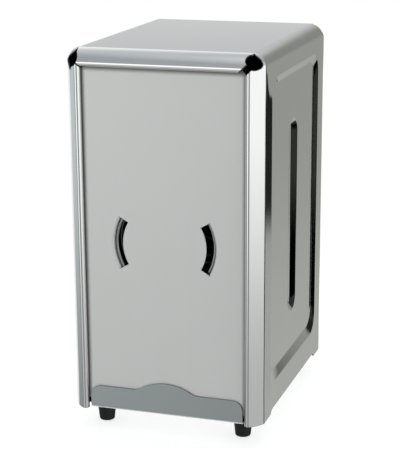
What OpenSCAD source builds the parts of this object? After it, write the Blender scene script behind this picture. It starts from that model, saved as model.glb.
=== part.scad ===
// Two-sided tall-fold napkin dispenser in sheet metal, with two sprung face plates.
// Origin: centre of the bounding box, on the surface that the feet stand on. Front is -Y.

/* [Housing] */
// Width over the two side walls
housing_w = 98; // [92:1:108]
// Depth of a side wall, from its front bend to its rear bend
wall_depth = 113; // [105:1:130]
// Height of a side wall, from its lower edge to the top
wall_h = 180; // [170:1:200]
// Thickness of the sheet metal
sheet = 0.8; // [0.6:0.1:1]
// Radius of the two long top edges
top_edge_r = 7; // [5:0.5:9]

/* [Frame around the mouth] */
// Width of the slanted frame strip, seen from the front
frame_w = 8.6; // [7:0.2:10]
// How far the frame stands in front of the wall's bend
frame_out = 6.8; // [6:0.2:8]
// Radius of the bow in the strip's outer face
frame_bow_r = 18; // [16:1:30]
// Outer radius of the rolled edge beside the mouth
nose_r = 1.8; // [1.4:0.1:2.2]
// Radius of the round relief notch at the right front and left rear top corners
wide_notch_r = 3.4; // [3:0.1:3.8]
// Radius of the small round lobe beside that notch
lobe_r = 2.1; // [1.5:0.1:2.4]
// Width of the open mitre slit below that notch
wide_slit = 3.75; // [2:0.25:4]
// Radius of the plain notch at the other two top corners
plain_notch_r = 3.5; // [3:0.1:3.6]
// Width of the narrow mitre slit below the plain notch
narrow_slit = 0.7; // [0.4:0.1:1.5]

/* [Side wall pressing] */
// Depth of the pressed recess
recess_depth = 1.5; // [1:0.1:2]
// Margin between the recess and the wall's front and rear bends
recess_margin = 11.5; // [9:0.5:15]
// Margin below the recess
recess_low = 15; // [14:1:20]
// Margin above the recess
recess_high = 12.8; // [10:0.2:16]
// Corner radius of the recess
recess_r = 9; // [5:0.5:11]
// Width of the groove that is pressed deeper along the middle of the recess
groove_w = 17; // [10:1:20]
// Depth of the groove below the floor of the recess
groove_depth = 1.7; // [1:0.1:2]
// Height of the groove's lower end above the wall's lower edge
groove_low = 40; // [30:1:50]
// Height of the groove's upper end above the wall's lower edge
groove_high = 140.5; // [120:0.5:148]

/* [Face plates] */
// Width of a face plate
plate_w = 85.2; // [84:0.2:86]
// Depth of the flange around a face plate
plate_flange = 6.8; // [5:0.2:8]
// Set-back of a plate's face from the front of the frame
plate_set = 2.9; // [2.6:0.1:3.2]
// Length of the chamfer at a plate's corners
plate_chamfer = 4; // [3:0.5:6]
// Gap between a plate's lower edge and the base plate
plate_floor_gap = 1.2; // [1.1:0.1:3]
// How far a plate's upper edge reaches up behind the frame strip
plate_overlap = 2.3; // [1:0.1:4]

/* [Spring seats] */
// Height of the spring's axis above the wall's lower edge
spring_z = 86.5; // [70:0.5:110]
// Inner radius of the arc windows
window_r_in = 20.9; // [18:0.1:22]
// Outer radius of the arc windows
window_r_out = 25.6; // [24:0.1:28]
// Angle that each arc window covers
window_angle = 60; // [40:5:80]
// How far the spring tabs reach behind the plate
tab_len = 4.6; // [3:0.2:6]

/* [Spring] */
// Radius of the spring's wire
wire_r = 0.8; // [0.6:0.1:1]
// Turns in each half of the spring
half_turns = 4.75; // [3.75:1:5.75]

/* [Base] */
// Width of the lip at the foot of the mouth
lip_w = 78.4; // [70:0.2:79]
// Height of the lip beside its hump
lip_h = 11.7; // [9:0.1:14]
// Height of the hump above the lip
hump_h = 4.6; // [2:0.2:6]
// Radius of the hump's crest
hump_r = 26; // [22:1:36]
// Radius of the hump's two foot fillets
hump_fillet_r = 8; // [5:1:10]
// Radius of the lip's top corners
lip_corner_r = 5; // [3:0.5:6]
// Set-back of the lip from the front of the frame
lip_set = 1.9; // [1.8:0.1:2]

/* [Feet] */
// Height of a rubber foot
foot_h = 10.5; // [8:0.5:14]
// Radius of a foot at the base plate
foot_r_top = 4.8; // [4.2:0.1:5.5]
// Radius of a foot at the ground
foot_r_low = 3.7; // [3.4:0.1:4.5]
// Distance of a foot from the centre line, sideways
foot_x = 36; // [30:0.5:38]
// Distance of a foot behind the wall's front bend
foot_back = 7.8; // [6:0.2:14]

/* [Hidden] */

$fn = 48;
// Small overlap of joined solids, how far a cut runs past a face, and a length beyond the whole object
eps = 0.01;
past = 1;
far = 300;
bevel_steps = 6;
nose_steps = 8;
hump_steps = 12;

half_w = housing_w / 2;
half_wall = wall_depth / 2;
front_y = half_wall + frame_out;
wall_z = foot_h;
top_z = foot_h + wall_h;
axis_z = wall_z + spring_z;
recess_x = half_w - recess_depth;
groove_x = recess_x - groove_depth;

// Centre of the rolled edge, inward and forward of the wall's bend
nose_in = frame_w - nose_r;
nose_fwd = frame_out - nose_r;
// Centre of the bow: it starts at the bend and runs into the rolled edge without a kink
nose_dist = norm([nose_in, nose_fwd]);
bow_along = (pow(frame_bow_r, 2) - pow(frame_bow_r - nose_r, 2) + pow(nose_dist, 2)) / (2 * nose_dist);
bow_aside = sqrt(pow(frame_bow_r, 2) - pow(bow_along, 2));
bow_u = (bow_along * nose_in + bow_aside * nose_fwd) / nose_dist;
bow_v = (bow_along * nose_fwd - bow_aside * nose_in) / nose_dist;
bow_start = atan2(-bow_v, -bow_u);
bow_end = atan2(nose_fwd - bow_v, nose_in - bow_u);

// Centres of the notches and the lobe, in from the wall and down from the top
wide_notch_in = 4.1;
wide_notch_down = 4;
plain_notch_in = 3.4;
plain_notch_down = 5;
lobe_down = 2.7;
// Share of the wide slit that is cut from the top strip
wide_slit_top = 0.68;

plate_y = front_y - plate_set;
plate_low = wall_z + sheet + plate_floor_gap;
plate_top = top_z - frame_w + plate_overlap;
plate_bend_r = 1.6;
return_gap = 0.2;
return_end = plate_y - half_wall + return_gap;

lip_y = front_y - lip_set;
lip_bend_r = 1.6;
hump_half = sqrt(pow(hump_r + hump_fillet_r, 2) - pow(hump_r + hump_fillet_r - hump_h, 2));
hump_angle = asin(hump_half / (hump_r + hump_fillet_r));
floor_gap = 1.6;
weld_tab_w = 12;
weld_tab_h = 12;
weld_tab_y = half_wall - 10;
bead_x = 22;
bead_r = 3.6;
bead_rise = 1;
bead_half_len = 46;
bead_clip_h = 4 * sheet;
relief_h = 2;
relief_half = half_wall - recess_margin;
lip_back = 10;
lip_corner_steps = 8;
lip_fillet_steps = 4;

floor_half = half_w - sheet - floor_gap;
floor_end = half_wall - 1;

foot_y = half_wall - foot_back;
rivet_r = 1.5;
rivet_hole_r = 1.6;
rivet_head_r = 2.4;
rivet_head_h = 1.2;
rivet_end_h = 0.6;
washer_r = 2.5;
washer_h = 0.6;
foot_pocket_r = 2.7;
foot_pocket_h = 4.6;

tab_step = 0.05;
coil_side_gap = 0.2;
coil_gap = 0.1;
coil_r = window_r_out - coil_side_gap - wire_r;
coil_start = plate_y - sheet - wire_r - coil_gap;
flat_pitch = 2 * wire_r + coil_gap;
wire_sides = 8;
rings_per_turn = 24;

// Points on an arc from angle a to angle b
function arc(centre, r, a, b, steps) = [
    for (i = [0:steps]) centre + r * [cos(a + (b - a) * i / steps), sin(a + (b - a) * i / steps)]
];

// Frame strip in section: first coordinate inward from the outer face, second forward from the bend
module frame_section() {
    bow = [bow_u, bow_v];
    nose = [nose_in, nose_fwd];
    polygon(concat(
        arc(bow, frame_bow_r, bow_start, bow_end, bevel_steps),
        arc(nose, nose_r, bow_end, 0, nose_steps),
        [[frame_w, return_end], [frame_w - sheet, return_end]],
        arc(nose, nose_r - sheet, 0, bow_end, nose_steps),
        arc(bow, frame_bow_r - sheet, bow_end, bow_start, bevel_steps)
    ));
}

// Region between a side strip and the mitre line, in front view, for the right side
module side_mitre() {
    polygon([
        [half_w, top_z],
        [half_w - 2 * frame_w, top_z - 2 * frame_w],
        [half_w - 2 * frame_w, wall_z],
        [half_w, wall_z]
    ]);
}

module top_mitre() {
    polygon([
        [-half_w, top_z],
        [-half_w + 2 * frame_w, top_z - 2 * frame_w],
        [half_w - 2 * frame_w, top_z - 2 * frame_w],
        [half_w, top_z]
    ]);
}

// Extrudes a front-view outline along Y, from y0 to y1
module along_y(y0, y1) {
    translate([0, y1, 0])
        rotate([90, 0, 0])
            linear_extrude(height = y1 - y0)
                children();
}

// Extrudes a side-view outline (Y, Z) along X, from x0 to x1
module along_x(x0, x1) {
    translate([x0, 0, 0])
        rotate([90, 0, 90])
            linear_extrude(height = x1 - x0)
                children();
}

module both_sides() {
    children();
    mirror([1, 0, 0]) children();
}

module both_ends() {
    children();
    mirror([0, 1, 0]) children();
}

module four_corners() {
    both_ends() both_sides() children();
}

// Inverted U outline whose two top corners are round
module arch(half, low, high, r) {
    translate([-half, low])
        square([2 * half, high - low - r]);
    translate([-half + r, low])
        square([2 * (half - r), high - low]);
    for (side = [-1, 1])
        translate([side * (half - r), high - r])
            circle(r = r);
}

// Upright rectangle with round corners, from its low to its high edges
module round_rect(y0, y1, z0, z1, r) {
    translate([y0 + r, z0])
        square([y1 - y0 - 2 * r, z1 - z0]);
    translate([y0, z0 + r])
        square([y1 - y0, z1 - z0 - 2 * r]);
    for (y = [y0 + r, y1 - r])
        for (z = [z0 + r, z1 - r])
            translate([y, z])
                circle(r = r);
}

module recess_outline(grow) {
    half = half_wall - recess_margin + grow;
    low = wall_z + recess_low - grow;
    high = top_z - recess_high + grow;
    round_rect(-half, half, low, high, recess_r + grow);
}

module groove_outline(grow) {
    half = groove_w / 2 + grow;
    round_rect(-half, half, wall_z + groove_low - grow, wall_z + groove_high + grow, half - eps);
}

module side_strip() {
    intersection() {
        translate([half_w, -half_wall, wall_z])
            mirror([0, 1, 0])
                mirror([1, 0, 0])
                    linear_extrude(height = wall_h)
                        frame_section();
        along_y(-far, 0)
            side_mitre();
    }
}

module top_strip() {
    intersection() {
        translate([-half_w, -half_wall, top_z])
            rotate([0, 90, 0])
                linear_extrude(height = housing_w)
                    mirror([0, 1, 0])
                        frame_section();
        along_y(-far, 0)
            top_mitre();
    }
}

// Cylinder along Y through the frame at the right front corner, in from the side and down from the top
module frame_hole(in, down, r) {
    translate([half_w - in, -half_wall, top_z - down])
        rotate([90, 0, 0])
            cylinder(r = r, h = frame_out + past);
}

// The frame is open over the rounded edge of the housing
module corner_opening() {
    translate([half_w - top_edge_r, -front_y - past, top_z - top_edge_r])
        cube([top_edge_r + past, frame_out + past, top_edge_r + past]);
}

// Slit along the mitre line, from its start beside the corner to the mouth
module mitre_slit(start, width, top_share) {
    translate([half_w - start, -half_wall, top_z - start])
        rotate([0, 45, 0])
            translate([-width * top_share, -frame_out - past, -2 * frame_w])
                cube([width, frame_out + past, 2 * frame_w]);
}

module wide_relief() {
    corner_opening();
    frame_hole(wide_notch_in, wide_notch_down, wide_notch_r);
    frame_hole(top_edge_r, lobe_down, lobe_r);
    mitre_slit(wide_notch_down, wide_slit, wide_slit_top);
}

module plain_relief() {
    corner_opening();
    frame_hole(plain_notch_in, plain_notch_down, plain_notch_r);
    mitre_slit(plain_notch_in, narrow_slit, 0.5);
}

// Reliefs at the four top corners: the rear is the front turned half a turn
module corner_reliefs() {
    for (turn = [0, 180])
        rotate([0, 0, turn]) {
            wide_relief();
            mirror([1, 0, 0]) plain_relief();
        }
}

module wall_relief() {
    translate([half_w - sheet - past, -relief_half, wall_z - past])
        cube([sheet + 2 * past, 2 * relief_half, relief_h + past]);
}

module housing_shell() {
    color("gainsboro")
    difference() {
        union() {
            difference() {
                union() {
                    along_y(-half_wall, half_wall)
                        difference() {
                            arch(half_w, wall_z, top_z, top_edge_r);
                            arch(half_w - sheet, wall_z - past, top_z - sheet, top_edge_r - sheet);
                        }
                    both_sides() {
                        along_x(recess_x - sheet, half_w - sheet / 2)
                            recess_outline(sheet);
                        along_x(groove_x - sheet, recess_x - sheet / 2)
                            groove_outline(sheet);
                    }
                }
                both_sides() {
                    along_x(recess_x, half_w + past)
                        recess_outline(0);
                    along_x(groove_x, half_w + past)
                        groove_outline(0);
                }
            }
            both_ends() {
                both_sides() side_strip();
                top_strip();
            }
        }
        corner_reliefs();
        both_sides() wall_relief();
    }
}

// Outline of the lip, with its low hump and its round top corners
module lip_outline() {
    crest = lip_h + hump_h - hump_r;
    polygon(concat(
        [[-lip_w / 2, 0], [lip_w / 2, 0]],
        arc([lip_w / 2 - lip_corner_r, lip_h - lip_corner_r], lip_corner_r, 0, 90, lip_corner_steps),
        arc([hump_half, lip_h + hump_fillet_r], hump_fillet_r, 270, 270 - hump_angle, lip_fillet_steps),
        arc([0, crest], hump_r, 90 - hump_angle, 90 + hump_angle, hump_steps),
        arc([-hump_half, lip_h + hump_fillet_r], hump_fillet_r, hump_angle - 90, -90, lip_fillet_steps),
        arc([-lip_w / 2 + lip_corner_r, lip_h - lip_corner_r], lip_corner_r, 90, 180, lip_corner_steps)
    ));
}

// Lip and the bend below it in section (Y, Z), for the front
module lip_section() {
    translate([-lip_y, lip_bend_r])
        square([sheet, lip_h + hump_h]);
    translate([-lip_y + lip_bend_r, 0])
        square([lip_back, sheet]);
    translate([-lip_y + lip_bend_r, lip_bend_r])
        intersection() {
            difference() {
                circle(r = lip_bend_r);
                circle(r = lip_bend_r - sheet);
            }
            translate([-lip_bend_r, -lip_bend_r])
                square(lip_bend_r);
        }
}

module front_lip() {
    translate([0, 0, wall_z])
        intersection() {
            along_x(-lip_w / 2, lip_w / 2)
                lip_section();
            along_y(-lip_y - past, 0)
                lip_outline();
        }
}

module weld_tab() {
    translate([half_w - sheet - floor_gap - eps, weld_tab_y - weld_tab_w / 2, wall_z])
        cube([floor_gap + eps, weld_tab_w, sheet]);
    translate([half_w - 2 * sheet, weld_tab_y - weld_tab_w / 2, wall_z])
        cube([sheet, weld_tab_w, weld_tab_h]);
}

module floor_bead(r) {
    translate([bead_x, bead_half_len, wall_z + sheet + bead_rise - bead_r])
        rotate([90, 0, 0])
            cylinder(r = r, h = 2 * bead_half_len);
}

module bead_clip() {
    translate([0, -far / 2, wall_z])
        cube([far, far, bead_clip_h]);
}

module base_plate() {
    color("darkgray")
    difference() {
        union() {
            translate([-floor_half, -floor_end, wall_z])
                cube([2 * floor_half, 2 * floor_end, sheet]);
            both_ends() front_lip();
            four_corners() weld_tab();
            both_sides()
                intersection() {
                    floor_bead(bead_r);
                    bead_clip();
                }
        }
        both_sides() floor_bead(bead_r - sheet);
        four_corners()
            translate([foot_x, foot_y, wall_z - past])
                cylinder(r = rivet_hole_r, h = sheet + 2 * past);
    }
}

// Face of a plate in front view, up to its four bends, with its corners cut off
module plate_outline() {
    half = plate_w / 2 - plate_bend_r;
    low = plate_low + plate_bend_r;
    high = plate_top - plate_bend_r;
    cut = plate_chamfer - plate_bend_r;
    polygon([
        [-half + cut, low], [half - cut, low], [half, low + cut], [half, high - cut],
        [half - cut, high], [-half + cut, high], [-half, high - cut], [-half, low + cut]
    ]);
}

// Bend and flange in section: first coordinate outward from the face's edge, second backward
module flange_section() {
    intersection() {
        translate([0, plate_bend_r])
            difference() {
                circle(r = plate_bend_r);
                circle(r = plate_bend_r - sheet);
            }
        square(plate_bend_r);
    }
    translate([plate_bend_r - sheet, plate_bend_r])
        square([sheet, plate_flange - plate_bend_r]);
}

module side_flange() {
    translate([plate_w / 2 - plate_bend_r, -plate_y, plate_low + plate_chamfer])
        linear_extrude(height = plate_top - plate_low - 2 * plate_chamfer)
            flange_section();
}

module top_flange() {
    reach = plate_w / 2 - plate_chamfer;
    along_x(-reach, reach)
        translate([-plate_y, plate_top - plate_bend_r])
            mirror([1, -1, 0])
                flange_section();
}

// Sector of a ring around the spring's axis, in front view, on the right
module window_sector(r_in, r_out, angle) {
    reach = 2 * r_out;
    intersection() {
        difference() {
            circle(r = r_out);
            circle(r = r_in);
        }
        polygon([
            [0, 0],
            reach * [cos(angle / 2), -sin(angle / 2)],
            reach * [cos(angle / 2), sin(angle / 2)]
        ]);
    }
}

module spring_windows() {
    both_sides()
        window_sector(window_r_in, window_r_out, window_angle);
}

// Tab bent back along the outer edge of a window, to hold the end coil from outside
module spring_tab() {
    translate([0, 0, axis_z])
        along_y(-plate_y + sheet / 2, -plate_y + tab_len)
            window_sector(window_r_out + tab_step, window_r_out + tab_step + sheet, window_angle);
}

module face_plate() {
    color("silver")
    union() {
        along_y(-plate_y, -plate_y + sheet)
            difference() {
                plate_outline();
                translate([0, axis_z])
                    spring_windows();
            }
        both_sides() side_flange();
        top_flange();
        translate([0, 0, plate_low + plate_top])
            mirror([0, 0, 1])
                top_flange();
        both_sides() spring_tab();
    }
}

module front_plate() {
    face_plate();
}

module rear_plate() {
    mirror([0, 1, 0]) face_plate();
}

// Distance of the wire from the plate after a number of turns: one flat turn, then an even pitch
function coil_y(turn) =
    turn < 1
        ? coil_start - flat_pitch * turn
        : coil_start - flat_pitch - (coil_start - flat_pitch) * (turn - 1) / (half_turns - 1);

function wire_point(turn, side) =
    let (
        swing = 360 * (turn - half_turns),
        around = 360 * side / wire_sides,
        r = coil_r + wire_r * cos(around)
    )
    [r * cos(swing), -coil_y(turn) + wire_r * sin(around), axis_z + r * sin(swing)];

module half_spring() {
    rings = round(rings_per_turn * half_turns);
    points = [
        for (i = [0:rings]) for (j = [0:wire_sides - 1]) wire_point(half_turns * i / rings, j)
    ];
    sides = [
        for (i = [0:rings - 1]) for (j = [0:wire_sides - 1]) let (
            a = i * wire_sides + j,
            b = i * wire_sides + (j + 1) % wire_sides
        ) [a, b, b + wire_sides, a + wire_sides]
    ];
    first_cap = [for (j = [wire_sides - 1:-1:0]) j];
    last_cap = [for (j = [0:wire_sides - 1]) rings * wire_sides + j];
    color("silver")
        polyhedron(points = points, faces = concat(sides, [first_cap, last_cap]), convexity = 10);
}

module spring_front() {
    half_spring();
}

// The other half is the same coil turned half a turn about the X direction
module spring_rear() {
    translate([0, 0, 2 * axis_z])
        rotate([180, 0, 0])
            half_spring();
}

module foot(side, end) {
    color("black")
    translate([side * foot_x, end * foot_y, 0])
        difference() {
            cylinder(r1 = foot_r_low, r2 = foot_r_top, h = foot_h);
            translate([0, 0, -past])
                cylinder(r = rivet_hole_r, h = foot_h + 2 * past);
            translate([0, 0, -past])
                cylinder(r = foot_pocket_r, h = foot_pocket_h + past);
        }
}

module washer(side, end) {
    color("silver")
    translate([side * foot_x, end * foot_y, foot_pocket_h - washer_h])
        difference() {
            cylinder(r = washer_r, h = washer_h);
            translate([0, 0, -past])
                cylinder(r = rivet_hole_r, h = washer_h + 2 * past);
        }
}

module rivet(side, end) {
    shank_low = foot_pocket_h - washer_h;
    floor_top = wall_z + sheet;
    color("silver")
    translate([side * foot_x, end * foot_y, 0]) {
        translate([0, 0, shank_low - rivet_head_h])
            cylinder(r = rivet_head_r, h = rivet_head_h);
        translate([0, 0, shank_low - eps])
            cylinder(r = rivet_r, h = floor_top - shank_low + rivet_end_h);
        translate([0, 0, floor_top])
            cylinder(r = rivet_head_r, h = rivet_end_h);
    }
}

housing_shell();
base_plate();
front_plate();
rear_plate();
spring_front();
spring_rear();
foot(-1, -1);  // foot_front_left
foot(1, -1);  // foot_front_right
foot(-1, 1);  // foot_rear_left
foot(1, 1);  // foot_rear_right
washer(-1, -1);  // washer_front_left
washer(1, -1);  // washer_front_right
washer(-1, 1);  // washer_rear_left
washer(1, 1);  // washer_rear_right
rivet(-1, -1);  // rivet_front_left
rivet(1, -1);  // rivet_front_right
rivet(-1, 1);  // rivet_rear_left
rivet(1, 1);  // rivet_rear_right
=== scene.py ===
import math

import bpy
import numpy as np
from mathutils import Matrix, Vector
from mathutils.geometry import delaunay_2d_cdt


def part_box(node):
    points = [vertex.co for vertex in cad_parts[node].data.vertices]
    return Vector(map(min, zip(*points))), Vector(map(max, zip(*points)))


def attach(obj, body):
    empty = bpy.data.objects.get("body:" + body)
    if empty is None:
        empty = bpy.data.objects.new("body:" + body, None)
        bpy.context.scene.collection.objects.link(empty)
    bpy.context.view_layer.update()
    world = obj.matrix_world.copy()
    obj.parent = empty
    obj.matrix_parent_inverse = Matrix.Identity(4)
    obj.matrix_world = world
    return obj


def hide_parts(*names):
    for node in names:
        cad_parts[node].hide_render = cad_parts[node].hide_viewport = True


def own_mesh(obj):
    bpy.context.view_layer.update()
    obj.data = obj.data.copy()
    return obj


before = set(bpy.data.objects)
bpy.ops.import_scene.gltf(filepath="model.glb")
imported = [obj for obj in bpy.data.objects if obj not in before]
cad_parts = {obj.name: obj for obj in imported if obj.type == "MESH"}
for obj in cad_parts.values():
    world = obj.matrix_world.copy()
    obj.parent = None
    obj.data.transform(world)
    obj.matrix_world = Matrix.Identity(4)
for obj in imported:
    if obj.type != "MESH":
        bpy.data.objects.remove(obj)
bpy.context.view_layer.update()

MM = 0.001


def box_mm(node):
    """Lowest and highest corner of a CAD node, in millimetres."""
    low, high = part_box(node)
    return np.array(low) / MM, np.array(high) / MM


shell_low, shell_high = box_mm("housing_shell")
plate_low, plate_high = box_mm("front_plate")
base_low, base_high = box_mm("base_plate")
spring_low, spring_high = box_mm("spring_front")

# ---- sizes of the sheet-metal work, as in the CAD design ----
SHEET = 0.8
FRAME_W = 8.6
FRAME_OUT = 6.8
BOW_R = 18.0
NOSE_R = 1.8
TOP_EDGE_R = 7.0
WALL_BEND_R = 1.5
RETURN_LEN = 0.9

HALF_W = shell_high[0]
FOOT_H = shell_low[2]
TOP = shell_high[2]
WALL_H = TOP - FOOT_H
HALF_WALL = round(shell_high[1] - FRAME_OUT, 1)


# ---- folding and sheet building ----

def fold_path(segments, start, heading):
    """Section of a folded sheet as a chain of ("arc", radius, degrees) and ("line", length) pieces.
    Returns its length and a function from path length to (u, v, normal_u, normal_v). Arcs turn clockwise,
    and the normal points to the outside of the turn."""
    pieces = []
    (u, v), way, at = start, math.radians(heading), 0.0
    for kind, *size in segments:
        length = size[0] * math.radians(size[1]) if kind == "arc" else size[0]
        pieces.append((at, length, kind, size, u, v, way))
        if kind == "arc":
            radius, turn = size[0], math.radians(size[1])
            out = way + math.pi / 2
            centre = (u - radius * math.cos(out), v - radius * math.sin(out))
            way -= turn
            u = centre[0] + radius * math.cos(way + math.pi / 2)
            v = centre[1] + radius * math.sin(way + math.pi / 2)
        else:
            u += length * math.cos(way)
            v += length * math.sin(way)
        at += length

    def place(s):
        s = np.asarray(s, float)
        result = np.zeros((4,) + s.shape)
        for k, (begin, length, kind, size, pu, pv, pway) in enumerate(pieces):
            last = k == len(pieces) - 1
            here = (s >= begin) & ((s < begin + length) | last)
            t = s[here] - begin
            if kind == "arc":
                radius = size[0]
                out = pway + math.pi / 2
                cu, cv = pu - radius * math.cos(out), pv - radius * math.sin(out)
                angle = out - t / radius
                cos_angle, sin_angle = np.cos(angle), np.sin(angle)
                result[:, here] = [cu + radius * cos_angle, cv + radius * sin_angle, cos_angle, sin_angle]
            else:
                out = pway + math.pi / 2
                result[:, here] = [pu + t * math.cos(pway), pv + t * math.sin(pway),
                                   np.full(t.shape, math.cos(out)), np.full(t.shape, math.sin(out))]
        return result

    return at, place


def arc_points(centre, radius, start, end, count):
    """Points on a circular or elliptical arc, angles in degrees."""
    rx, ry = radius if isinstance(radius, tuple) else (radius, radius)
    angles = np.radians(np.linspace(start, end, count))
    return [(centre[0] + rx * math.cos(a), centre[1] + ry * math.sin(a)) for a in angles]


def spaced(low, high, step, fine=()):
    """Values from low to high at a step, with finer steps inside the (from, to, step) zones in fine."""
    values = list(np.linspace(low, high, max(2, math.ceil((high - low) / step) + 1)))
    for start, end, small in fine:
        if end <= low or start >= high:
            continue
        start, end = max(start, low), min(end, high)
        values = [x for x in values if x < start - small / 2 or x > end + small / 2]
        values += list(np.linspace(start, end, max(2, math.ceil((end - start) / small) + 1)))
    return sorted(set(round(float(x), 5) for x in values))


def inside_rings(points, rings):
    """Even-odd test of points against closed outlines."""
    x, y = points[:, 0], points[:, 1]
    hit = np.zeros(len(points), bool)
    for ring in rings:
        ring = np.asarray(ring)
        for (x1, y1), (x2, y2) in zip(ring, np.roll(ring, -1, axis=0)):
            if y1 == y2:
                continue
            cross = (y1 > y) != (y2 > y)
            hit ^= cross & (x < (x2 - x1) * (y - y1) / (y2 - y1) + x1)
    return hit


def smooth(t):
    """Rise from 0 to 1 that starts and ends level, without a step in its curvature."""
    t = np.clip(t, 0.0, 1.0)
    return t * t * t * (t * (6 * t - 15) + 10)


def ramp(t):
    """Even slope from 0 to 1 with a short bend at each end."""
    t = np.clip(t, 0.0, 1.0)
    low = np.minimum(t, 1 - t)
    bent = np.where(low < BEND_SHARE, low * low / (2 * BEND_SHARE * (1 - BEND_SHARE)),
                    (low - BEND_SHARE / 2) / (1 - BEND_SHARE))
    return np.where(t <= 0.5, bent, 1 - bent)


def mesh_piece(name, points, faces, normals=None, slots=None):
    """A mesh object from millimetre points, with smooth shading and, if given, exact point normals."""
    mesh = bpy.data.meshes.new(name)
    corners = [tuple(p) for p in np.asarray(points) * MM]
    mesh.from_pydata(corners, [], [tuple(int(i) for i in f) for f in faces])
    mesh.polygons.foreach_set("use_smooth", [True] * len(mesh.polygons))
    if slots is not None:
        mesh.polygons.foreach_set("material_index", [int(s) for s in slots])
    mesh.update()
    if normals is not None:
        mesh.normals_split_custom_set_from_vertices([tuple(n) for n in normals])
    piece = bpy.data.objects.new(name, mesh)
    bpy.context.scene.collection.objects.link(piece)
    return piece


def unit(v):
    """Vectors scaled to length 1."""
    return v / np.maximum(np.linalg.norm(v, axis=-1, keepdims=True), 1e-12)


# Faces across the rounded rim of a sheet
RIM_STEPS = 4


def sheet_piece(name, rings, place, points=(), lines=(), rim=0.28, rim_slot=0):
    """A folded sheet of even thickness. rings are the outlines of the flat blank, the outside one first;
    points and lines refine it; place maps blank points to positions on the outer face and its normals.
    Faces of the outer side take material slot 0, those of the inner side slot 1, and the rounded rim,
    which stands out by rim, takes rim_slot."""
    blank, edges = [], []
    for ring in rings:
        first = len(blank)
        blank += [tuple(p) for p in ring]
        edges += [(first + i, first + (i + 1) % len(ring)) for i in range(len(ring))]
    for line in lines:
        first = len(blank)
        blank += [tuple(p) for p in line]
        edges += [(first + i, first + i + 1) for i in range(len(line) - 1)]
    if len(points):
        points = np.asarray(points, float)
        blank += [tuple(p) for p in points[inside_rings(points, rings)]]
    flat, _, triangles, *_ = delaunay_2d_cdt([Vector(p) for p in blank], edges, [], 0, 1e-5)
    flat = np.array([(p[0], p[1]) for p in flat])
    triangles = np.array([t for t in triangles if len(t) == 3])
    corner = flat[triangles]
    area = np.cross(corner[:, 1] - corner[:, 0], corner[:, 2] - corner[:, 0])
    keep = inside_rings(corner.mean(axis=1), rings) & (np.abs(area) > 1e-7)
    triangles, area = triangles[keep], area[keep]
    triangles[area < 0] = triangles[area < 0][:, ::-1]
    used = np.unique(triangles)
    renumber = np.full(len(flat), -1)
    renumber[used] = np.arange(len(used))
    flat, triangles = flat[used], renumber[triangles]
    position, normal = place(flat)
    normal = unit(normal)

    corner = position[triangles]
    face_normal = np.cross(corner[:, 1] - corner[:, 0], corner[:, 2] - corner[:, 0])
    if np.sum(face_normal * normal[triangles[:, 0]]) < 0:
        triangles = triangles[:, ::-1]
    directed = {}
    for a, b, c in triangles:
        for i, j in ((a, b), (b, c), (c, a)):
            directed[(i, j)] = True
    border = [(i, j) for (i, j) in directed if (j, i) not in directed]
    aside = np.zeros_like(position)
    for i, j in border:
        along = unit(position[j] - position[i])
        for k in (i, j):
            aside[k] += np.cross(along, normal[k])
    rim_ids = sorted(set(i for edge in border for i in edge))
    aside = unit(aside)

    count = len(position)
    all_points = [position, position - SHEET * normal]
    all_normals = [normal, -normal]
    row_start, rim_at = [], {v: k for k, v in enumerate(rim_ids)}
    total = 2 * count
    ids = np.array(rim_ids)
    half = SHEET / 2
    for step in range(1, RIM_STEPS):
        angle = math.pi * step / RIM_STEPS
        c, s = math.cos(angle), math.sin(angle)
        all_points.append(position[ids] + half * (c - 1) * normal[ids] + rim * s * aside[ids])
        all_normals.append(unit(c / half * normal[ids] + s / rim * aside[ids]))
        row_start.append(total)
        total += len(ids)
    faces = [tuple(t) for t in triangles] + [tuple(t[::-1] + count) for t in triangles]
    slots = [0] * len(triangles) + [1] * len(triangles)
    for i, j in border:
        rows_i = [i] + [start + rim_at[i] for start in row_start] + [count + i]
        rows_j = [j] + [start + rim_at[j] for start in row_start] + [count + j]
        for k in range(RIM_STEPS):
            faces.append((rows_j[k], rows_i[k], rows_i[k + 1], rows_j[k + 1]))
            slots.append(rim_slot)
    return mesh_piece(name, np.concatenate(all_points), faces, np.concatenate(all_normals), slots)


def lattice(xs, ys):
    """All the points of a grid."""
    gx, gy = np.meshgrid(xs, ys)
    return np.column_stack([gx.ravel(), gy.ravel()])


def mirrored(quarter):
    """Closed outline from its quarter in x > 0, y > 0, which runs from the y axis to the x axis."""
    quarter = list(quarter)
    right_low = [(x, -y) for x, y in quarter[::-1] if y > 0]
    left_low = [(-x, -y) for x, y in quarter if x > 0]
    left_high = [(-x, y) for x, y in quarter[::-1] if x > 0 and y > 0]
    ring = quarter + right_low + left_low + left_high
    tidy = [ring[0]]
    for p in ring[1:]:
        if math.dist(p, tidy[-1]) > 1e-6:
            tidy.append(p)
    if math.dist(tidy[0], tidy[-1]) < 1e-6:
        tidy.pop()
    return tidy


# ---- housing shell ----

# Section of a frame strip: it starts at the wall's bend, bows out, rolls over and returns
nose_in, nose_out = FRAME_W - NOSE_R, FRAME_OUT - NOSE_R
nose_far = math.hypot(nose_in, nose_out)
bow_along = (BOW_R ** 2 - (BOW_R - NOSE_R) ** 2 + nose_far ** 2) / (2 * nose_far)
bow_aside = math.sqrt(BOW_R ** 2 - bow_along ** 2)
bow_u = (bow_along * nose_in + bow_aside * nose_out) / nose_far
bow_v = (bow_along * nose_out - bow_aside * nose_in) / nose_far
bow_from = math.degrees(math.atan2(-bow_v, -bow_u))
bow_to = math.degrees(math.atan2(nose_out - bow_v, nose_in - bow_u))
bend_turn = 180.0 - bow_from
bend_reach = WALL_BEND_R * math.tan(math.radians(bend_turn / 2))
bow_turn = bow_from - bow_to - math.degrees(bend_reach / BOW_R)

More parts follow.
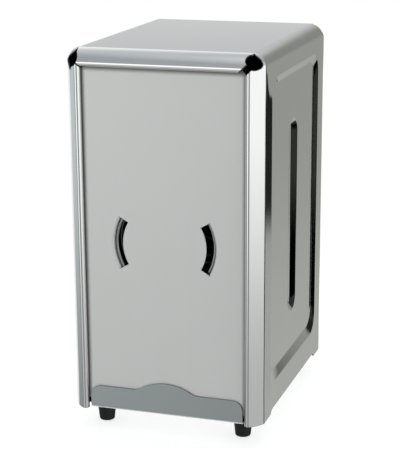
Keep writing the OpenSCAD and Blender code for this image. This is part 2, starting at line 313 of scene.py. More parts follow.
strip_len, strip_at = fold_path([
    ("arc", WALL_BEND_R, bend_turn), ("arc", BOW_R, bow_turn), ("arc", NOSE_R, bow_to), ("line", RETURN_LEN),
], (0.0, -bend_reach), 90.0)
STRIP_START = HALF_WALL - bend_reach
strip_far = strip_at(np.linspace(0, strip_len, 2000))[1].max()
BLANK_HALF = STRIP_START + strip_len

ARCH_FLAT = HALF_W - TOP_EDGE_R
ARCH_TURN = TOP_EDGE_R * math.pi / 2
ARCH_SIDE = ARCH_FLAT + ARCH_TURN
ARCH_END = ARCH_SIDE + WALL_H - TOP_EDGE_R


def strip_length_at(u_wanted):
    """Path lengths along a strip at which it has come the given distances in from the wall's face."""
    s = np.linspace(0.0, strip_len - RETURN_LEN, 400)
    u = strip_at(s)[0]
    return np.interp(u_wanted, u, s)


# Pressed recess and groove of a side wall. Each outline is its half depth along the wall, its lower and upper
# height above the wall's lower edge, and its corner radius.
RECESS_DEPTH, GROOVE_DEPTH = 1.5, 1.7
RECESS_RIM = (HALF_WALL - 11.5, 14.8, WALL_H - 12.8, 10.0)
RECESS_FLOOR = (HALF_WALL - 15.1, 21.0, WALL_H - 17.2, 10.5)
GROOVE_RIM = (8.5, 40.0, 140.5, 8.4)
GROOVE_FLOOR = (0.9, 44.0, 137.0, 0.8)
# Share of a pressed slope that each of its two bends takes up
BEND_SHARE = 0.14
# The wall's margins bow inwards towards the bends, between two heights, and fade out at both. Their shading
# leans as well, from just outside the recess, and reaches higher beside the bend.
MARGIN_BOW = 0.12
BOW_LOW, BOW_HIGH, BOW_FADE = 4.0, 166.0, 14.0
MARGIN_LEAN = math.tan(math.radians(7.0))
LEAN_START, LEAN_FADE, LEAN_CLIMB = 0.3, 1.5, 18.0


def round_box_distance(y, h, box):
    """Signed distance to a rectangle with round corners: negative inside."""
    half, low, high, radius = box
    mid, tall = (low + high) / 2, (high - low) / 2
    qy, qh = np.abs(y) - half + radius, np.abs(h - mid) - tall + radius
    return np.hypot(np.maximum(qy, 0), np.maximum(qh, 0)) + np.minimum(np.maximum(qy, qh), 0) - radius


def between(y, h, outer, inner):
    """0 outside the outer outline, 1 inside the inner one, and an even slope between them."""
    to_outer = np.maximum(-round_box_distance(y, h, outer), 0)
    to_inner = np.maximum(round_box_distance(y, h, inner), 0)
    return to_outer / np.maximum(to_outer + to_inner, 1e-9)


def margin_share(y):
    """How far across a margin: 0 at the recess, 1 at the bend."""
    return np.clip((np.abs(y) - RECESS_RIM[0]) / (STRIP_START - RECESS_RIM[0]), 0, 1)


def pressed_depth(y, h):
    """How far a wall's face is pressed in at a depth along the wall and a height above its lower edge."""
    recess = ramp(between(y, h, RECESS_RIM, RECESS_FLOOR))
    groove = ramp(between(y, h, GROOVE_RIM, GROOVE_FLOOR))
    return RECESS_DEPTH * recess + GROOVE_DEPTH * groove + MARGIN_BOW * margin_share(y) * bow_share(h)


def bow_share(h):
    """1 between the heights of the bow, falling to 0 outside them."""
    return smooth((h - BOW_LOW) / BOW_FADE) * smooth((BOW_HIGH - h) / BOW_FADE)


def margin_lean(side, y, h):
    """Extra slope of the shading, positive towards the rear, on the right wall's front margin and on the left
    wall's rear margin."""
    inner = smooth((-side * y - RECESS_RIM[0] - LEAN_START) / LEAN_FADE)
    return -side * MARGIN_LEAN * inner * bow_share(h - LEAN_CLIMB * margin_share(y) ** 4)


def place_shell(blank):
    """Positions and normals of the shell from its blank: along its arch from the top's centre, and along its
    depth with the front positive."""
    a, b = blank[:, 0], blank[:, 1]
    side = np.sign(a)
    reach = np.abs(a)
    turn = np.clip((reach - ARCH_FLAT) / TOP_EDGE_R, 0, math.pi / 2)
    down = np.maximum(reach - ARCH_SIDE, 0)
    x = np.minimum(reach, ARCH_FLAT) + TOP_EDGE_R * np.sin(turn)
    z = TOP - TOP_EDGE_R + TOP_EDGE_R * np.cos(turn) - down
    out = np.column_stack([side * np.sin(turn), np.zeros_like(a), np.cos(turn)])
    base = np.column_stack([side * x, np.zeros_like(a), z])

    end = np.sign(b)
    s = np.maximum(np.abs(b) - STRIP_START, 0)
    u, v, nu, nv = strip_at(s)
    flat = np.abs(b) <= STRIP_START
    forward = np.column_stack([np.zeros_like(a), -end, np.zeros_like(a)])
    along = np.where(flat, np.abs(b), HALF_WALL + np.where(v > 0, v * FRAME_OUT / strip_far, v))
    position = base + along[:, None] * forward - np.where(flat, 0, u)[:, None] * out
    normal = np.where(flat[:, None], out, -nu[:, None] * out + nv[:, None] * forward)

    y, h = -b, z - FOOT_H
    wall = reach > ARCH_SIDE
    depth = np.where(wall, pressed_depth(y, h), 0) * np.where(flat, 1, 1 - u / FRAME_W)
    wall = wall & flat
    tiny = 0.02
    slope_y = np.where(wall, (pressed_depth(y + tiny, h) - pressed_depth(y - tiny, h)) / (2 * tiny), 0)
    slope_y = slope_y + np.where(wall, margin_lean(side, y, h), 0)
    slope_h = np.where(wall, (pressed_depth(y, h + tiny) - pressed_depth(y, h - tiny)) / (2 * tiny), 0)
    position -= depth[:, None] * out
    normal = normal + np.column_stack([np.zeros_like(a), slope_y, slope_h])
    return position, normal


# Corner relief: on the right a lobe on the top strip, a round notch and a wide mitre slit, and on the left
# a round notch with a pointed tail and a narrow slit. Distances are inward from the side's face and down from
# the top's face. The nick is how far the cut runs back past the bend.
RIGHT_NOTCH = {"in": 4.1, "down": 4.0, "r": 3.4, "top_slit": 3.6, "side_slit": 1.7, "lobe": True,
               "nick": -0.05, "tail": 0.0}
LEFT_NOTCH = {"in": 3.6, "down": 5.0, "r": 3.9, "top_slit": 0.5, "side_slit": 0.5, "lobe": False,
              "nick": 1.1, "tail": 11.0}
LOBE_DOWN, LOBE_R = 2.7, 2.1
TAIL_IN, TAIL_SLOPE = 3.0, 1.6
RELIEF_H, RELIEF_HALF, RELIEF_RAMP = 2.0, HALF_WALL - 11.5, 3.0


def strip_blank(u):
    """Blank coordinate across a strip for distances inward from the wall's face, up to the mouth."""
    return STRIP_START + strip_length_at(u)


def top_strip_end(notch):
    """Outline of the top strip's end from the mouth to the bend."""
    line = HALF_W - notch["top_slit"]
    outline = [(line - FRAME_W, BLANK_HALF)]
    centre = (HALF_W - notch["in"], notch["down"])
    lobe_centre = (ARCH_FLAT, LOBE_DOWN)
    for u in np.linspace(FRAME_W, 0.25, 60):
        x = line - u
        reach = notch["r"] ** 2 - (u - centre[1]) ** 2
        if reach > 0:
            x = min(x, centre[0] - math.sqrt(reach))
        reach = LOBE_R ** 2 - (u - lobe_centre[1]) ** 2
        if notch["lobe"] and reach > 0:
            x = min(x, lobe_centre[0] - math.sqrt(reach))
        outline.append((min(x, ARCH_FLAT + 0.8), strip_blank(u)))
    return outline


def side_strip_end(notch):
    """Outline of the side strip's end from the bend to the mouth, in lengths along the arch."""
    outline = []
    for u in np.linspace(0.45, FRAME_W, 60):
        down = u + notch["side_slit"]
        reach = notch["r"] ** 2 - (u - notch["in"]) ** 2
        if reach > 0:
            down = max(down, notch["down"] + math.sqrt(reach))
        down = max(down, notch["tail"] - TAIL_SLOPE * abs(u - TAIL_IN))
        if down < TOP_EDGE_R:
            along = ARCH_SIDE - TOP_EDGE_R * math.asin(min((TOP_EDGE_R - down) / TOP_EDGE_R, 1.0))
        else:
            along = ARCH_SIDE + down - TOP_EDGE_R
        outline.append((max(along, ARCH_FLAT + 6.2), strip_blank(u)))
    outline.append((outline[-1][0], BLANK_HALF))
    return outline


def shell_quarter(notch):
    """Quarter of the shell's blank outline, from the top strip's middle to the side's lower edge."""
    outline = [(0.0, BLANK_HALF)] + top_strip_end(notch)
    nick = STRIP_START + 0.3 - notch["nick"]
    outline += [(ARCH_FLAT + 1.2, nick), (ARCH_FLAT + 8.5, nick)]
    outline += side_strip_end(notch)
    # down the strip's return edge to the lower end, and along the wall's lower edge with its low relief
    outline.append((ARCH_END, BLANK_HALF))
    outline.append((ARCH_END, RELIEF_HALF))
    outline.append((ARCH_END - RELIEF_H, RELIEF_HALF - RELIEF_RAMP))
    outline.append((ARCH_END - RELIEF_H, 0.0))
    return outline


def shell_outline():
    """The front's two corners differ, and the rear is the front turned by half a turn."""
    right, left = shell_quarter(RIGHT_NOTCH), shell_quarter(LEFT_NOTCH)
    ring = right[1:-1]
    ring += [(x, -y) for x, y in left[::-1] if y > 0 and x > 0]
    ring += [(-x, -y) for x, y in right[1:-1]]
    ring += [(-x, y) for x, y in left[::-1] if y > 0 and x > 0]
    return ring


# Zones of finer mesh down a wall: upper and lower height above its lower edge, and the step there
FINE_HEIGHTS = [
    (WALL_H - 12.4, WALL_H - 17.6, 0.35),
    (WALL_H - 17.6, WALL_H - 28.0, 0.9),
    (32.0, 21.4, 0.9),
    (21.4, 14.4, 0.35),
    (50.0, 39.6, 0.6),
    (141.0, 131.0, 0.6),
]


def both_signs(values):
    return sorted(set([-v for v in values] + values))


def build_shell():
    fine = [(ARCH_END - high, ARCH_END - low, step) for high, low, step in FINE_HEIGHTS]
    side = spaced(ARCH_SIDE, ARCH_END - 1.0, 3.0, fine)
    columns = both_signs(spaced(0.0, ARCH_FLAT, 4.0) + spaced(ARCH_FLAT, ARCH_SIDE, 0.7) + side)
    rim, floor = RECESS_RIM[0], RECESS_FLOOR[0]
    depth_rows = spaced(0.0, STRIP_START, 3.0, [
        (0.0, 8.9, 0.45),
        (floor - 9.0, floor - 0.2, 0.9),
        (floor - 0.2, rim + 0.2, 0.18),
        (rim + 0.2, STRIP_START, 0.8),
    ])
    bend_end = WALL_BEND_R * math.radians(bend_turn)
    roll_start = strip_len - RETURN_LEN - NOSE_R * math.radians(bow_to)
    roll_end = strip_len - RETURN_LEN
    strip_rows = [STRIP_START + s for s in np.concatenate([
        np.linspace(0, bend_end, 5)[1:],
        np.linspace(bend_end, roll_start, 9)[1:],
        np.linspace(roll_start, roll_end, 17)[1:],
        [strip_len - RETURN_LEN / 2],
    ])]
    rows = both_signs([round(float(r), 5) for r in depth_rows + strip_rows])
    lines = [[(-ARCH_END - 1, r), (ARCH_END + 1, r)] for r in rows if abs(r) >= STRIP_START - 0.001]
    points = lattice(columns, rows)
    return sheet_piece("housing_shell_skin", [shell_outline()], place_shell, points, lines, rim_slot=1)


# ---- face plates ----

PLATE_HALF = plate_high[0]
PLATE_Y = -plate_low[1]
PLATE_FLANGE = plate_high[1] - plate_low[1]
PLATE_MID = (plate_low[2] + plate_high[2]) / 2
PLATE_TALL = (plate_high[2] - plate_low[2]) / 2
PLATE_BEND_R = 1.6
PLATE_CHAMFER = 4.0
AXIS_Z = (spring_low[2] + spring_high[2]) / 2

WINDOW_IN, WINDOW_OUT, WINDOW_HALF_ANGLE = 20.9, 25.6, 30.0
TAB_BEND_R = 1.0
TAB_REACH = 4.6
TAB_HALF_ANGLE = 28.9

FACE_HALF = PLATE_HALF - PLATE_BEND_R
FACE_TALL = PLATE_TALL - PLATE_BEND_R
FACE_CUT = PLATE_CHAMFER - PLATE_BEND_R
flange_len, flange_at = fold_path([
    ("arc", PLATE_BEND_R, 90.0), ("line", PLATE_FLANGE - PLATE_BEND_R),
], (0.0, 0.0), 0.0)

TAB_EDGE = WINDOW_OUT + TAB_BEND_R
TAB_TURN = TAB_BEND_R * math.pi / 2
TAB_LEN = TAB_TURN + TAB_REACH - TAB_BEND_R
TAB_TIP = TAB_EDGE - TAB_LEN
WINDOW_Q = AXIS_Z - PLATE_MID


def place_plate(blank):
    """Positions and normals of the front plate from its blank: sideways and upward from its middle."""
    p, q = blank[:, 0], blank[:, 1]
    over_p = np.maximum(np.abs(p) - FACE_HALF, 0)
    over_q = np.maximum(np.abs(q) - FACE_TALL, 0)
    pu, pv, pnu, pnv = flange_at(over_p)
    qu, qv, qnu, qnv = flange_at(over_q)
    sideways = over_p > 0
    upward = over_q > 0
    x = np.where(sideways, np.sign(p) * (FACE_HALF + pu), p)
    z = np.where(upward, np.sign(q) * (FACE_TALL + qu), q)
    back = np.where(sideways, -pv, np.where(upward, -qv, 0))
    nx = np.where(sideways, np.sign(p) * pnu, 0)
    nz = np.where(upward & ~sideways, np.sign(q) * qnu, 0)
    ny = -np.where(sideways, pnv, np.where(upward, qnv, 1))

    # tabs bent back along the outer arcs of the two windows
    dx, dz = np.abs(p), q - WINDOW_Q
    r = np.hypot(dx, dz)
    angle = np.degrees(np.arctan2(dz, dx))
    tab = (np.abs(angle) < TAB_HALF_ANGLE + 0.02) & (r < TAB_EDGE) & (r > TAB_TIP - 0.01)
    s = np.where(tab, TAB_EDGE - r, 0)
    bend = np.minimum(s / TAB_BEND_R, math.pi / 2)
    new_r = TAB_EDGE - TAB_BEND_R * np.sin(bend)
    back = back + np.where(tab, TAB_BEND_R * (1 - np.cos(bend)) + np.maximum(s - TAB_TURN, 0), 0)
    shrink = np.where(tab, new_r / np.maximum(r, 1e-9), 1)
    x = np.where(tab, p * shrink, x)
    z = np.where(tab, WINDOW_Q + dz * shrink, z)
    inward = np.where(tab, np.sin(bend), 0)
    nx = nx - inward * p / np.maximum(r, 1e-9)
    nz = nz - inward * dz / np.maximum(r, 1e-9)
    ny = np.where(tab, -np.cos(bend), ny)
    position = np.column_stack([x, -PLATE_Y + back, PLATE_MID + z])
    return position, np.column_stack([nx, ny, nz])


def window_ring(side):
    """U-shaped slit around a tab, in the blank."""
    centre = (0.0, WINDOW_Q)
    ring = arc_points(centre, TAB_EDGE, WINDOW_HALF_ANGLE, WINDOW_HALF_ANGLE, 1)
    ring += arc_points(centre, WINDOW_IN, WINDOW_HALF_ANGLE, -WINDOW_HALF_ANGLE, 31)
    ring += arc_points(centre, TAB_EDGE, -WINDOW_HALF_ANGLE, -WINDOW_HALF_ANGLE, 1)
    ring += arc_points(centre, TAB_EDGE, -TAB_HALF_ANGLE, -TAB_HALF_ANGLE, 1)
    ring += arc_points(centre, TAB_TIP, -TAB_HALF_ANGLE, TAB_HALF_ANGLE, 31)
    ring += arc_points(centre, TAB_EDGE, TAB_HALF_ANGLE, TAB_HALF_ANGLE, 1)
    return [(side * x, q) for x, q in ring]


def build_plate(name, facing):
    """A face plate with its flange, windows and tabs. facing is 1 at the front and -1 at the rear."""
    blank_half, blank_tall = FACE_HALF + flange_len, FACE_TALL + flange_len
    inner_p, inner_q = FACE_HALF - FACE_CUT, FACE_TALL - FACE_CUT
    ring = mirrored([
        (0.0, blank_tall), (inner_p, blank_tall), (inner_p, FACE_TALL), (FACE_HALF, inner_q),
        (blank_half, inner_q), (blank_half, 0.0)])
    bend_len = PLATE_BEND_R * math.pi / 2
    columns = both_signs(spaced(0.0, blank_half, 4.5, [(FACE_HALF, FACE_HALF + bend_len, 0.4)]))
    rows = both_signs(spaced(0.0, blank_tall, 6.0, [(FACE_TALL, FACE_TALL + bend_len, 0.4)]))
    points = lattice(columns, rows)
    r = np.hypot(points[:, 0], points[:, 1] - WINDOW_Q)
    points = points[(r < WINDOW_IN - 1.5) | (r > TAB_EDGE + 1.5)]
    lines = [[(-blank_half - 1, s * v), (blank_half + 1, s * v)]
             for v in rows if v > FACE_TALL - 0.001 for s in (-1, 1)]
    lines += [[(s * v, -blank_tall - 1), (s * v, blank_tall + 1)]
              for v in columns if v > FACE_HALF - 0.001 for s in (-1, 1)]
    for s in list(np.linspace(0, TAB_TURN, 7)) + [TAB_TURN + 1.2, TAB_TURN + 2.4]:
        for side in (-1, 1):
            line = arc_points((0.0, WINDOW_Q), TAB_EDGE - s, -TAB_HALF_ANGLE, TAB_HALF_ANGLE, 31)
            lines.append([(side * x, q) for x, q in line])
    rings = [ring, window_ring(-1), window_ring(1)]

    def place(blank):
        position, normal = place_plate(blank)
        turn = np.array([1, facing, 1])
        return position * turn, normal * turn

    return sheet_piece(name, rings, place, points, lines, rim=0.2)


# ---- base plate with its lips ----

FLOOR_Z = base_low[2]
LIP_Y = -base_low[1]
LIP_W = 78.4
LIP_H = 11.7
HUMP_H, HUMP_R, HUMP_FILLET_R, LIP_CORNER_R = 4.6, 26.0, 8.0, 5.0
BASE_BEND_R = 1.6
FLOOR_HALF = base_high[0] - BASE_BEND_R
FLOOR_END = HALF_WALL - 1.0
LIP_BEND_AT = LIP_Y - BASE_BEND_R
BASE_TURN = BASE_BEND_R * math.pi / 2
WELD_LOW, WELD_HIGH, WELD_TALL = 40.5, 52.5, 12.0
BEAD_X, BEAD_HALF_W, BEAD_RISE, BEAD_HALF_LEN = 22.0, 2.7, 1.0, 46.0
FOOT_X, FOOT_Y = 36.0, 48.7
RIVET_HOLE_R = 1.6
_, up_at = fold_path([("arc", BASE_BEND_R, 90.0), ("line", 40.0)], (0.0, 0.0), 0.0)


def place_base(blank):
    """Positions and normals of the base plate from its blank: sideways, and along its depth with the front
    positive. The outer face is the underside."""
    p, q = blank[:, 0], blank[:, 1]
    over_p = np.maximum(np.abs(p) - FLOOR_HALF, 0)
    over_q = np.maximum(np.abs(q) - LIP_BEND_AT, 0)
    pu, pv, pnu, pnv = up_at(over_p)
    qu, qv, qnu, qnv = up_at(over_q)
    tab, lip = over_p > 0, over_q > 0
    x = np.where(tab, np.sign(p) * (FLOOR_HALF + pu), p)
    forward = np.where(lip, np.sign(q) * (LIP_BEND_AT + qu), q)
    up = np.where(tab, -pv, np.where(lip, -qv, 0))
    normal = np.column_stack([
        np.where(tab, np.sign(p) * pnu, 0),
        np.where(lip, -np.sign(q) * qnu, 0),
        -np.where(tab, pnv, np.where(lip, qnv, 1))])
    across = smooth(1 - np.abs(np.abs(p) - BEAD_X) / BEAD_HALF_W)
    ends = smooth((BEAD_HALF_LEN - np.abs(q)) / BEAD_HALF_W)
    tiny = 0.02
    slope = (smooth(1 - np.abs(np.abs(p) + tiny - BEAD_X) / BEAD_HALF_W) - across) / tiny
    up = up + BEAD_RISE * across * ends
    normal[:, 0] += np.sign(p) * BEAD_RISE * slope * ends
    return np.column_stack([x, -forward, FLOOR_Z + up]), normal


def lip_blank(height):
    """Blank coordinate of a height on the lip above the base's underside."""
    return LIP_BEND_AT + BASE_TURN + height - BASE_BEND_R


def build_base():
    """The base plate with its two lips, weld tabs, beads and rivet holes."""
    crest = LIP_H + HUMP_H - HUMP_R
    hump_half = math.sqrt((HUMP_R + HUMP_FILLET_R) ** 2 - (HUMP_R + HUMP_FILLET_R - HUMP_H) ** 2)
    hump_angle = math.degrees(math.asin(hump_half / (HUMP_R + HUMP_FILLET_R)))
    edge = arc_points((0.0, crest), HUMP_R, 90, 90 - hump_angle, 14)
    edge += arc_points((hump_half, LIP_H + HUMP_FILLET_R), HUMP_FILLET_R, 270 - hump_angle, 270, 8)[1:]
    edge += arc_points((LIP_W / 2 - LIP_CORNER_R, LIP_H - LIP_CORNER_R), LIP_CORNER_R, 90, 0, 12)
    outline = [(x, lip_blank(h)) for x, h in edge]
    wall_tab = FLOOR_HALF + BASE_TURN + WELD_TALL - BASE_BEND_R
    outline += [
        (LIP_W / 2, FLOOR_END), (FLOOR_HALF, FLOOR_END), (FLOOR_HALF, WELD_HIGH), (wall_tab, WELD_HIGH),
        (wall_tab, WELD_LOW), (FLOOR_HALF, WELD_LOW), (FLOOR_HALF, 0.0)]
    rings = [mirrored(outline)]
    for x in (-FOOT_X, FOOT_X):
        for y in (-FOOT_Y, FOOT_Y):
            rings.append(arc_points((x, y), RIVET_HOLE_R, 0, 345, 24))
    beads = [(BEAD_X - BEAD_HALF_W, BEAD_X + BEAD_HALF_W, 0.45)]
    columns = both_signs(spaced(0.0, wall_tab, 4.0, beads + [(FLOOR_HALF, FLOOR_HALF + BASE_TURN, 0.4)]))
    bead_ends = (BEAD_HALF_LEN - BEAD_HALF_W, BEAD_HALF_LEN, 0.45)
    lip_zone = (LIP_BEND_AT, LIP_BEND_AT + BASE_TURN, 0.4)
    rows = both_signs(spaced(0.0, lip_blank(LIP_H + HUMP_H), 4.0, [bead_ends, lip_zone]))
    reach = wall_tab + 1
    lines = [[(-reach, r), (reach, r)] for r in rows
             if LIP_BEND_AT - 0.001 <= abs(r) <= LIP_BEND_AT + BASE_TURN + 0.001]
    lines += [[(c, -reach), (c, reach)] for c in columns
              if FLOOR_HALF + 0.001 < abs(c) <= FLOOR_HALF + BASE_TURN + 0.001]
    return sheet_piece("base_plate_skin", rings, place_base, lattice(columns, rows), lines, rim=0.2)


# ---- spring ----

WIRE_R = 0.8
COIL_R = spring_high[0] - WIRE_R
HALF_TURNS = 4.75
COIL_START = PLATE_Y - SHEET - WIRE_R - 0.1
FLAT_PITCH = 2 * WIRE_R + 0.1
WIRE_SIDES = 14
WIRE_RINGS = 64
JOINT_BLEND = 0.35


def coil_distance(turn):
    """Distance of the wire from the middle after a number of turns: one flat turn, then an even pitch."""
    pitch = (COIL_START - FLAT_PITCH) / (HALF_TURNS - 1)
    extra = pitch - FLAT_PITCH
    over = turn - 1
    if over > JOINT_BLEND:
        late = over
    elif over > -JOINT_BLEND:
        late = (over + JOINT_BLEND) ** 2 / (4 * JOINT_BLEND)
    else:
        late = 0.0
    return COIL_START - FLAT_PITCH * turn - extra * late


def build_spring(name, facing):
    """Half of the coil, from a plate to the middle. facing is 1 at the front and -1 at the rear."""
    rings = round(WIRE_RINGS * HALF_TURNS)
    centres, radials = [], []
    for i in range(rings + 1):
        turn = HALF_TURNS * i / rings
        swing = 2 * math.pi * (turn - HALF_TURNS)
        radial = np.array([math.cos(swing), 0.0, math.sin(swing)])
        centres.append(COIL_R * radial + np.array([0.0, -coil_distance(turn), 0.0]))
        radials.append(radial)
    centres, radials = np.array(centres), np.array(radials)
    along = unit(np.gradient(centres, axis=0))
    side = unit(np.cross(along, radials))
    points, normals = [], []
    # each row is a ring of points: its place on the wire, push along the wire, and share of the radius
    rows = [(0, -0.8, 0.2), (0, -0.55, 0.75)]
    rows += [(i, 0.0, 1.0) for i in range(rings + 1)]
    rows += [(rings, 0.0, 0.2)]
    for i, push, shrink in rows:
        for k in range(WIRE_SIDES):
            around = 2 * math.pi * k / WIRE_SIDES
            out = math.cos(around) * radials[i] + math.sin(around) * side[i]
            points.append(centres[i] + WIRE_R * (push * along[i] + shrink * out))
            normals.append(out + push * along[i])
    faces = []
    for row in range(len(rows) - 1):
        for k in range(WIRE_SIDES):
            a = row * WIRE_SIDES + k
            b = row * WIRE_SIDES + (k + 1) % WIRE_SIDES
            faces.append((a, b, b + WIRE_SIDES, a + WIRE_SIDES))
    faces.append(tuple(range(WIRE_SIDES - 1, -1, -1)))
    faces.append(tuple((len(rows) - 1) * WIRE_SIDES + k for k in range(WIRE_SIDES)))
    turn_about = np.array([1, facing, facing])
    points = np.array(points) * turn_about + np.array([0, 0, AXIS_Z])
    normals = unit(np.array(normals) * turn_about)
    return mesh_piece(name, points, faces, normals)


# ---- feet, washers and rivets ----

# Sides of a turned piece
LATHE_SIDES = 48


def lathe(name, outline, centre, creases=30.0):
    """Turned piece from a closed outline of (radius, height) points, in the order that runs down its outside.
    Edges sharper than the angle in creases stay sharp."""
    ring = len(outline)
    points, faces = [], []
    for k in range(LATHE_SIDES):
        angle = 2 * math.pi * k / LATHE_SIDES
        points += [(centre[0] + r * math.cos(angle), centre[1] + r * math.sin(angle), z) for r, z in outline]
    for k in range(LATHE_SIDES):
        nxt = (k + 1) % LATHE_SIDES
        for i in range(ring):
            j = (i + 1) % ring
            faces.append((k * ring + j, nxt * ring + j, nxt * ring + i, k * ring + i))
    piece = mesh_piece(name, points, faces)
    piece.data.set_sharp_from_angle(angle=math.radians(creases))
    return piece


FOOT_TOP_R, FOOT_LOW_R = 4.8, 3.7
POCKET_R, POCKET_H = 2.7, 4.6
WASHER_R, WASHER_H = 2.5, 0.6
RIVET_R, RIVET_HEAD_R, RIVET_HEAD_H, RIVET_END_H = 1.5, 2.4, 1.2, 0.6
FOOT_EDGE_R = 0.9


def foot_outline():
    low = FOOT_LOW_R + 0.1
    outline = [(RIVET_R + 0.08, FOOT_H), (FOOT_TOP_R - 0.3, FOOT_H), (FOOT_TOP_R, FOOT_H - 0.35)]
    outline += [(FOOT_TOP_R - 0.35, 6.0), (low + 0.1, FOOT_EDGE_R)]
    outline += arc_points((low + 0.1 - FOOT_EDGE_R, FOOT_EDGE_R), FOOT_EDGE_R, -10, -90, 7)
    outline += [(POCKET_R + 0.15, 0.0), (POCKET_R, 0.15), (POCKET_R, POCKET_H), (RIVET_R + 0.08, POCKET_H)]
    return outline


def washer_outline():
    low, high = POCKET_H - WASHER_H, POCKET_H
    bore, bore_edge = RIVET_R + 0.05, RIVET_R + 0.13
    rim_edge = WASHER_R - 0.12
    outline = [(bore, high - 0.08), (bore_edge, high), (rim_edge, high), (WASHER_R, high - 0.12)]
    outline += [(WASHER_R, low + 0.12), (rim_edge, low), (bore_edge, low), (bore, low + 0.08)]
    return outline


def rivet_outline():
    """Tubular rivet: its bore is open at the head below and at the rolled end above."""
    head_top = POCKET_H - WASHER_H
    head_low = head_top - RIVET_HEAD_H
    end_low = FOOT_H + SHEET
    end_top = end_low + RIVET_END_H
    bore = RIVET_R - 0.45
    outline = [(bore, end_top - 0.35), (bore + 0.2, end_top - 0.1), (bore + 0.6, end_top)]
    outline += arc_points((RIVET_HEAD_R - 0.3, end_low + 0.3), 0.3, 90, -90, 7)
    outline += [(RIVET_R, end_low), (RIVET_R, head_top), (RIVET_HEAD_R - 0.1, head_top)]
    outline += arc_points((RIVET_HEAD_R - 0.35, head_top - 0.4), 0.35, 60, -20, 5)
    outline += [(RIVET_HEAD_R - 0.35, head_low + 0.25), (RIVET_R + 0.2, head_low), (bore + 0.25, head_low),
                (bore, head_low + 0.25)]
    return outline


# ---- materials ----

def add_node(tree, kind, links=None, **settings):
    """A shader node with its inputs set from values or linked from other nodes' sockets."""
    made = tree.nodes.new(kind)
    for key, value in settings.items():
        setattr(made, key, value)
    for key, value in (links or {}).items():
        if isinstance(value, bpy.types.NodeSocket):
            tree.links.new(value, made.inputs[key])
        else:
            made.inputs[key].default_value = value
    return made


def blank_material(name):
    """A material with only a principled shader."""
    material = bpy.data.materials.new(name)
    material.use_nodes = True
    tree = material.node_tree
    tree.nodes.clear()
    shader = add_node(tree, "ShaderNodeBsdfPrincipled")
    output = add_node(tree, "ShaderNodeOutputMaterial")
    tree.links.new(shader.outputs[0], output.inputs[0])
    return material, tree, shader


def remap(tree, value, low, high, to_low, to_high):
    """A value's range from low to high, laid evenly onto another range."""
    made = add_node(tree, "ShaderNodeMapRange", {
        "Value": value, "From Min": low, "From Max": high, "To Min": to_low, "To Max": to_high})
    return made.outputs[0]


def noise(tree, where, scale, detail, roughness, stretch=(1, 1, 1)):
    """Noise in the object's own space, finer along an axis by its stretch."""
    mapped = add_node(tree, "ShaderNodeMapping", {"Vector": where, "Scale": stretch})
    return add_node(tree, "ShaderNodeTexNoise", {
        "Vector": mapped.outputs[0], "Scale": scale, "Detail": detail, "Roughness": roughness}).outputs[0]


def colour_mix(tree, share, first, second):
    """The first colour at a share of 0, and the second one at 1."""
    return add_node(tree, "ShaderNodeMix", {0: share, 6: first, 7: second}, data_type="RGBA").outputs[2]


def total(tree, first, second, operation="ADD"):
    """The sum of two values, or what another operation makes of them."""
    return add_node(tree, "ShaderNodeMath", {0: first, 1: second}, operation=operation).outputs[0]


def soft_step(tree, value, start, end):
    """0 at the start and 1 at the end, with a smooth step between them."""
    return add_node(tree, "ShaderNodeMapRange", {
        "Value": value, "From Min": start, "From Max": end, "To Min": 0.0, "To Max": 1.0},
        interpolation_type="SMOOTHSTEP").outputs[0]


def frame_shadow_share(tree, where, half_width, top, reach):
    """Painted shadow of the frame on a plate: 1 over its open face, falling towards its edges under the
    frame, by distance in metres.
    """
    parts = add_node(tree, "ShaderNodeSeparateXYZ", {"Vector": where})
    aside = total(tree, parts.outputs["X"], 0.0, "ABSOLUTE")
    beside = soft_step(tree, aside, half_width, half_width - reach)
    below = soft_step(tree, parts.outputs["Z"], top, top - reach)
    return total(tree, beside, below, "MULTIPLY")


# Colours of the painted shadow under the frame and of the painted highlight near the ground
PAINTED_SHADOW_TINT, PAINTED_HIGHLIGHT_TINT = (0.16, 0.165, 0.16, 1), (0.96, 0.97, 0.97, 1)


def metal(name, bright, dull, rough, grain, stretch, bump, metallic=1.0, frame_shadow=None, bend_highlight=None):
    """Sheet or wire metal: clouded tone, a directional grain, and fine handling marks in its gloss. A painted
    shadow beside the frame, if asked for, is given by the half width and height of the frame's mouth and how
    far it reaches. A painted highlight near the ground, if asked for, is given by the two heights over which
    it fades out."""
    material, tree, shader = blank_material(name)
    where = add_node(tree, "ShaderNodeTexCoord").outputs["Object"]
    clouds = noise(tree, where, 22.0, 3.0, 0.55)
    grained = noise(tree, where, grain, 3.0, 0.6, stretch)
    specks = noise(tree, where, 900.0, 2.0, 0.6)
    tone = total(tree, remap(tree, clouds, 0.1, 0.9, 0.0, 0.6), remap(tree, grained, 0.1, 0.9, 0.0, 0.4))
    base = colour_mix(tree, tone, dull, bright)
    # painted shadow: the plate's colour darkens towards its edges under the frame
    if frame_shadow:
        base = colour_mix(tree, frame_shadow_share(tree, where, *frame_shadow), PAINTED_SHADOW_TINT, base)
    # painted highlight: the metal is brightened near the ground, along the base plate's lower bend
    if bend_highlight:
        height = add_node(tree, "ShaderNodeSeparateXYZ", {"Vector": where}).outputs["Z"]
        base = colour_mix(tree, remap(tree, height, *bend_highlight, 1.0, 0.0), base, PAINTED_HIGHLIGHT_TINT)
    tree.links.new(base, shader.inputs["Base Color"])
    shader.inputs["Metallic"].default_value = metallic
    cloud_rough = remap(tree, clouds, 0.1, 0.9, rough[0], rough[1])
    swing = 0.3 * (rough[1] - rough[0])
    grain_rough = remap(tree, grained, 0.1, 0.9, -swing, swing)
    tree.links.new(total(tree, cloud_rough, grain_rough), shader.inputs["Roughness"])
    height = total(tree, grained, total(tree, specks, 0.35, "MULTIPLY"))
    lift = add_node(tree, "ShaderNodeBump", {"Height": height, "Strength": bump, "Distance": 0.0002})
    tree.links.new(lift.outputs[0], shader.inputs["Normal"])
    return material


